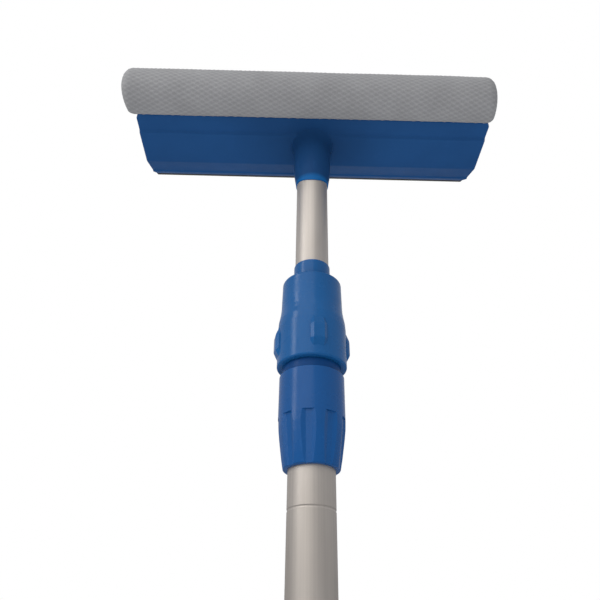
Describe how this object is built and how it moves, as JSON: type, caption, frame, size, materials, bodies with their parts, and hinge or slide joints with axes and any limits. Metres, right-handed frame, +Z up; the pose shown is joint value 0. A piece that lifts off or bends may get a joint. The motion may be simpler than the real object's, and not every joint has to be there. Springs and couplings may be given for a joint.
{
  "type": "telescopic window squeegee",
  "caption": "Window squeegee with a net-covered scrubbing pad and a rubber blade on one head, on a two-section telescopic pole with a twist lock.",
  "frame": {"origin": "on the pole's axis at the middle of the hand grip, where the tool is held", "axes": "+Z up the pole to the head, the scrubbing pad faces -Y, X along the head"},
  "size_m": [0.26, 0.1019, 0.7182],
  "materials": {
    "head_plastic": "satin",
    "collar_plastic": "satin",
    "grip_plastic": "satin",
    "carrier_plastic": "matte",
    "inner_plastic": "satin",
    "rubber": "matte",
    "foam": "matte",
    "net": "matte",
    "tube_metal": "satin",
    "steel": "satin"
  },
  "bodies": {
    "lower_pole": {"outer_tube": "tube_metal", "hand_grip": "grip_plastic", "end_cap": "grip_plastic", "collar_body": "collar_plastic", "stop_ring": "collar_plastic", "guide_bush": "inner_plastic", "collar_rivet": "steel"},
    "glide": {"glide_bush": "inner_plastic"},
    "upper_pole": {"inner_tube": "tube_metal", "inner_end_plug": "inner_plastic", "bush_clip": "steel", "head_body": "head_plastic", "socket_screw": "steel"},
    "collet": {"collet": "inner_plastic", "thrust_ring": "inner_plastic"},
    "lock_nut": {"lock_nut": "collar_plastic", "wiper_sleeve": "collar_plastic"},
    "blade": {"rubber_blade": "rubber"},
    "scrub_pad": {"pad_foam": "foam", "net_cover": "net", "pad_carrier": "carrier_plastic"}
  },
  "joints": [
    {"name": "pole_extend", "type": "slide", "parent": "lower_pole", "child": "glide", "axis": [0, 0, 1], "range_m": [-0.066, 0.275]},
    {"name": "head_turn", "type": "hinge", "parent": "glide", "child": "upper_pole", "pos_m": [0, 0, 0.3], "axis": [0, 0, 1], "continuous": true},
    {"name": "nut_turn", "type": "hinge", "parent": "collet", "child": "lock_nut", "pos_m": [0, 0, 0.434], "axis": [0, 0, 1], "range_deg": [0, 180]},
    {"name": "nut_rise", "type": "slide", "parent": "lower_pole", "child": "collet", "axis": [0, 0, 1], "range_m": [0, 0.002]},
    {"name": "blade_slide", "type": "slide", "parent": "upper_pole", "child": "blade", "axis": [1, 0, 0], "range_m": [0, 0.262]},
    {"name": "pad_pull_off", "type": "slide", "parent": "upper_pole", "child": "scrub_pad", "axis": [0, -1, 0], "range_m": [0, 0.06]}
  ],
  "couplings": [
    {"joint": "nut_turn", "follows": "nut_rise", "rad_per_m": 1570.8}
  ]
}
